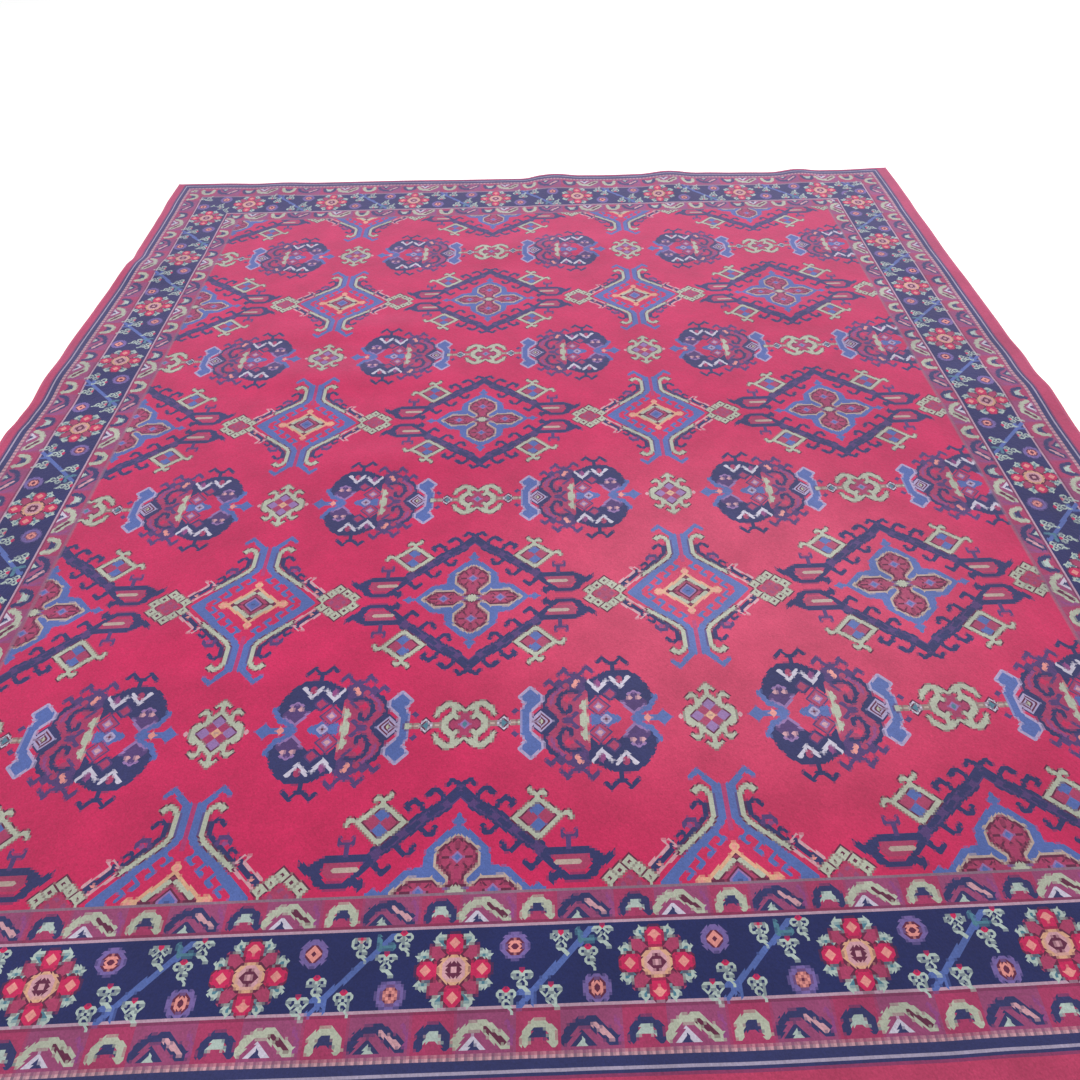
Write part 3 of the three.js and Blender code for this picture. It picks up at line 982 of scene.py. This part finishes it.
# %% Pile: seven lengths
STRIPS = 7
RUNS = 3
RUN_MARGIN, END_MARGIN = 0.02, 0.01  # bare shares of the map at the sides and ends of a run
slope_y, slope_x = np.gradient(pile_points[..., 2])
knot = KNOT_MM * MM
pile_normals = np.stack([-slope_x / knot, -slope_y / knot, np.ones(slope_x.shape)], axis=-1)
pile_normals /= np.linalg.norm(pile_normals, axis=-1, keepdims=True)
columns_each = knots_across // STRIPS
strips = []
for strip in range(STRIPS):
    left = strip * columns_each
    points = pile_points[:, left:left + columns_each + 1].reshape(-1, 3)
    normals = pile_normals[:, left:left + columns_each + 1].reshape(-1, 3)
    cuts = rising[:, left:left + columns_each]
    row, column = np.mgrid[0:knots_along, 0:columns_each]
    a = row * (columns_each + 1) + column
    b, c, d = a + 1, a + columns_each + 2, a + columns_each + 1
    # a rising cut runs from a to c, a falling one from b to d
    first = np.where(cuts[..., None], np.stack([a, b, c], -1), np.stack([a, b, d], -1))
    second = np.where(cuts[..., None], np.stack([a, c, d], -1), np.stack([b, c, d], -1))
    triangles = np.stack([first, second], axis=2).reshape(-1, 3)
    colours = triangle_colours[:, left:left + columns_each].reshape(-1, 3)
    corner_row, corner_column = triangles // (columns_each + 1), triangles % (columns_each + 1)
    rows_each = math.ceil(knots_along / RUNS)
    run = np.minimum(np.repeat(row.ravel() // rows_each, 2)[:, None], RUNS - 1)
    u = (run + RUN_MARGIN + (1 - 2 * RUN_MARGIN) * corner_column / columns_each) / RUNS
    v = END_MARGIN + (1 - 2 * END_MARGIN) * (corner_row - run * rows_each) / rows_each
    piece = mesh_from(f"pile_length_{strip + 1}", points, triangles, colours, np.stack([u, v], axis=-1))
    piece.data.normals_split_custom_set_from_vertices(normals)
    strips.append(piece)
print("pile triangles:", sum(len(piece.data.polygons) for piece in strips))

# %% [markdown]
# ## The back
# The underside of a knotted rug shows the same drawing in flat ridges, because each knot goes round its
# warps. It lies on the floor, so a coarser sheet is enough: one square for five by five knots.

# %% Back
BACK_KNOTS = 5
INSET = 2  # millimetres in from the outline
OFF_FLOOR = 0.2
half_width, half_length = RUG_WIDTH / 2 - INSET, RUG_LENGTH / 2 - INSET
back_x = np.linspace(-half_width, half_width, knots_across // BACK_KNOTS + 1)
back_y = np.linspace(-half_length, half_length, knots_along // BACK_KNOTS + 1)
back_points = placed(*np.meshgrid(back_x, back_y), OFF_FLOOR).reshape(-1, 3)
rows, columns = len(back_y) - 1, len(back_x) - 1
row, column = np.mgrid[0:rows, 0:columns]
a = row * (columns + 1) + column
squares = np.stack([a, a + columns + 1, a + columns + 2, a + 1], axis=-1).reshape(-1, 4)
step = BACK_KNOTS * DOTS
middle_dots = chart[(row * step + step // 2).ravel(), (column * step + step // 2).ravel()]
back_colours = dye_colours[middle_dots] * (1 + TUFT_TINT * rng.normal(size=(len(squares), 1)))
back = mesh_from("woven_back", back_points, squares, np.clip(back_colours, 0, 1))
print("back squares:", len(back.data.polygons))

# %% [markdown]
# ## Sides and ends
# The two sides are oversewn with wool yarn, wrap beside wrap, so that they don't fray. It is a cord with a
# low ridge for each wrap. The ends are a narrow flat weave that is turned under and sewn down, so a smooth
# round hem shows there under the pile. Both are rolls that follow the outline, so one function makes them.

# %% An edge roll
CORD_RADIUS = 3.6  # millimetres
ROLL_SIDES = 6


def edge_roll(name, path_x, path_y, radii, flatten):
    """A roll along one edge of the rug. Its middle follows the outline, a radius above the floor."""
    middle = placed(path_x, path_y, CORD_RADIUS * flatten + OFF_FLOOR)
    run = np.gradient(middle, axis=0)
    run /= np.linalg.norm(run, axis=1, keepdims=True)
    outward = np.cross(run, (0, 0, 1))
    outward /= np.linalg.norm(outward, axis=1, keepdims=True)
    upward = np.cross(outward, run)
    angles = np.arange(ROLL_SIDES) * 2 * math.pi / ROLL_SIDES
    ring = (outward[:, None] * np.cos(angles)[None, :, None]
            + upward[:, None] * np.sin(angles)[None, :, None] * flatten)
    points = (middle[:, None] + ring * radii[:, None, None] * MM).reshape(-1, 3)
    place, side = np.mgrid[0:len(path_x) - 1, 0:ROLL_SIDES]
    here, ahead = place * ROLL_SIDES, (place + 1) * ROLL_SIDES
    after = (side + 1) % ROLL_SIDES
    faces = np.stack([here + side, ahead + side, ahead + after, here + after], axis=-1).reshape(-1, 4)
    return mesh_from(name, points, faces)


print("roll:", 2 * CORD_RADIUS, "mm thick")

# %% Overcast sides and turned ends
WRAP = 7.0  # millimetres, as are the next
CORD_INSET = 2.5
HEM_RADIUS, HEM_INSET = 3.4, 3.2
HEM_FLATNESS = 0.8  # its height as a share of its width
HEM_POINTS = 101
GROOVE = 0.84  # the yarn between two wraps, as a share of the radius
edges = []
steps = int(RUG_LENGTH / WRAP) * 2
along = np.linspace(-half_length, half_length, steps + 1)
wraps = CORD_RADIUS * np.where(np.arange(steps + 1) % 2 == 0, 1.0, GROOVE)
wraps = wraps * rng.uniform(0.95, 1.05, len(wraps))
for name, side in (("overcast_left_side", -1), ("overcast_right_side", 1)):
    x = np.full(along.shape, side * (RUG_WIDTH / 2 - CORD_INSET))
    edges.append(edge_roll(name, x, along, wraps, 1.0))
across = np.linspace(-half_width, half_width, HEM_POINTS)
for name, side in (("turned_near_hem", -1), ("turned_far_hem", 1)):
    y = np.full(across.shape, side * (RUG_LENGTH / 2 - HEM_INSET))
    edges.append(edge_roll(name, across, y, np.full(across.shape, HEM_RADIUS), HEM_FLATNESS))
print("edge faces:", sum(len(piece.data.polygons) for piece in edges))

# %% [markdown]
# ## Wool pile
# Cut wool tips are matt, but the sides of the fibres are smooth, so pile gives a soft sheen where it is
# seen at a low angle, like the far half of this rug. Wool's IOR is 1.55. Large patches, lighter and darker,
# are painted into the colour: partly painted sheen and shade of pile that leans one way or another, partly
# uneven tone of the wool. The fibres make a fine grain inside each tuft. Noise of the right size does both,
# by lifting or lowering the dye's value.

# %% Material: cut wool pile
SHEEN_AND_TONE_PATCH_MM = 140
FIBRE_MM = KNOT_MM / 2  # a tuft's loose ends, drawn as coarse as the picture can show
wool, wool_shader = new_material("cut_wool_pile", Roughness=0.9, IOR=1.55, Specular_IOR_Level=0.25,
                                 Sheen_Weight=0.31, Sheen_Roughness=0.5, Sheen_Tint=linear("#e2ccff"))
coordinates = node(wool, "TexCoord").outputs["Object"]
dye = node(wool, "Attribute", attribute_name="dye").outputs["Color"]
# painted sheen and shade of leaning pile, with uneven tone: large lighter and darker patches
sheen_and_tone_patches = node(wool, "TexNoise", {"Vector": coordinates}, Scale=1 / (SHEEN_AND_TONE_PATCH_MM * MM), Detail=3.0,
               Roughness=0.6).outputs["Fac"]
sheen_and_tone_value = node(wool, "MapRange", {"Value": sheen_and_tone_patches}, From_Min=0.3, From_Max=0.7, To_Min=0.86,
                   To_Max=1.12).outputs["Result"]
fibre = node(wool, "TexNoise", {"Vector": coordinates}, Scale=1 / (FIBRE_MM * MM), Detail=2.0).outputs["Fac"]
fibre_value = node(wool, "MapRange", {"Value": fibre}, From_Min=0.3, From_Max=0.7, To_Min=0.88,
                   To_Max=1.1).outputs["Result"]
both = node(wool, "Math", {0: sheen_and_tone_value, 1: fibre_value}, operation="MULTIPLY").outputs[0]
shade = node(wool, "HueSaturation", {"Color": dye, "Value": both}).outputs["Color"]
print("shade nodes:", len(wool.node_tree.nodes))

# %% [markdown]
# Right of the middle a wide patch of pile is brushed flat, and its sheen is painted into the colour: every dye
# there is made paler and lighter, but dark ones stay dark. A round gradient, scaled to that area, fades it out
# on all sides.

# %% Painted sheen right of the middle
# painted sheen: a paler, lighter patch of pile right of the middle
SHEEN_PATCH_PLACE = (0.5, -0.78, 0)  # metres from the middle of the rug
SHEEN_PATCH_REACH = (0.95, 0.85, 1.0)
from_sheen_patch = node(wool, "Mapping", {"Vector": coordinates}, vector_type="TEXTURE", Location=SHEEN_PATCH_PLACE,
                    Scale=SHEEN_PATCH_REACH).outputs["Vector"]
painted_sheen_patch = node(wool, "TexGradient", {"Vector": from_sheen_patch}, gradient_type="SPHERICAL").outputs["Fac"]
sheen_paleness = node(wool, "MapRange", {"Value": painted_sheen_patch}, interpolation_type="SMOOTHSTEP", From_Max=0.75,
                To_Min=1.0, To_Max=0.915).outputs["Result"]
sheen_lightening = node(wool, "MapRange", {"Value": painted_sheen_patch}, interpolation_type="SMOOTHSTEP", From_Max=0.75,
            To_Min=1.0, To_Max=1.13).outputs["Result"]
# the dyes take the painted sheen here
with_painted_sheen = node(wool, "HueSaturation", {"Color": shade, "Saturation": sheen_paleness, "Value": sheen_lightening}).outputs["Color"]
print("nodes with the brushed area:", len(wool.node_tree.nodes))

# %% [markdown]
# The mesh gives each tuft its height. Between the corners of the squares the tufts are still round, which a
# bump from cells of one knot's width adds. It is soft, because trodden tips lean over each other.

# %% Tuft relief
TUFT_RELIEF_MM = 1.2
tufts = node(wool, "TexVoronoi", {"Vector": coordinates}, Scale=1 / (KNOT_MM * MM)).outputs["Distance"]
relief = node(wool, "Bump", {"Height": tufts}, Strength=0.35, Distance=TUFT_RELIEF_MM * MM, invert=True)
dress(wool, wool_shader, strips, Base_Color=with_painted_sheen, Normal=relief.outputs["Normal"])

# %% [markdown]
# ## Knotted back
# On the back each knot is a pair of flat loops of the same wool, pulled down between rows of cotton weft.
# It is duller than the pile, a little of the cotton shows through, and each row of knots is a low ridge. A
# wave texture makes the rows, as they run straight across the rug.

# %% Material: knotted back
WAVE_TURN = 20  # a wave texture of scale 1 turns by 20 radians in each metre
ROW_RELIEF_MM = 0.8
knotted, knotted_shader = new_material("knotted_wool_back", Roughness=0.95, IOR=1.55, Specular_IOR_Level=0.2)
coordinates = node(knotted, "TexCoord").outputs["Object"]
dye = node(knotted, "Attribute", attribute_name="dye").outputs["Color"]
rows_wave = node(knotted, "TexWave", {"Vector": coordinates}, bands_direction="Y",
                 Scale=2 * math.pi / WAVE_TURN / (KNOT_MM * MM), Distortion=0.6).outputs["Fac"]
cotton = node(knotted, "MixRGB", {"Color1": dye}, Fac=0.25, Color2=linear("#b9a68c")).outputs[0]
relief = node(knotted, "Bump", {"Height": rows_wave}, Strength=0.5, Distance=ROW_RELIEF_MM * MM)
dress(knotted, knotted_shader, [back], Base_Color=cotton, Normal=relief.outputs["Normal"])

# %% [markdown]
# ## Oversewing yarn
# The edges are wrapped with spun crimson wool. Spun yarn is smoother than cut pile, so it has a little less
# roughness. Its twisted plies make a fine relief, and the colour is darker where that relief is low and
# lighter where it is high: painted shade in the grooves and painted highlight on the plies. Noise as fine
# as one ply, 1.5 mm, gives both the painted spots and their relief.

# %% Material: oversewing yarn
PLY_MM = 1.5
PLY_RELIEF_MM = 0.5
yarn, yarn_shader = new_material("wool_oversewing_yarn", Roughness=0.85, IOR=1.55, Specular_IOR_Level=0.25,
                                 Sheen_Weight=0.3)
coordinates = node(yarn, "TexCoord").outputs["Object"]
twist = node(yarn, "TexNoise", {"Vector": coordinates}, Scale=1 / (PLY_MM * MM), Detail=2.0).outputs["Fac"]
# painted shade and highlight: the same noise as the relief, dark where it is low and light where it is high
painted_ply_shade = node(yarn, "ValToRGB", {"Fac": twist})
for stop, position, colour in zip(painted_ply_shade.color_ramp.elements, (0.3, 0.7), ("#8c1c3c", "#c43a5c")):
    stop.position = position
    stop.color = linear(colour)
relief = node(yarn, "Bump", {"Height": twist}, Strength=0.5, Distance=PLY_RELIEF_MM * MM)
dress(yarn, yarn_shader, edges, Base_Color=painted_ply_shade.outputs["Color"], Normal=relief.outputs["Normal"])

# %% [markdown]
# ## Back to the frame
# Each piece rides on the rug's one body and stands for its CAD solid.

# %% Frame calls
pieces = strips + [back] + edges
for piece in pieces:
    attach(piece, "root")
    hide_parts("knotted_rug")
print("pieces:", len(pieces))
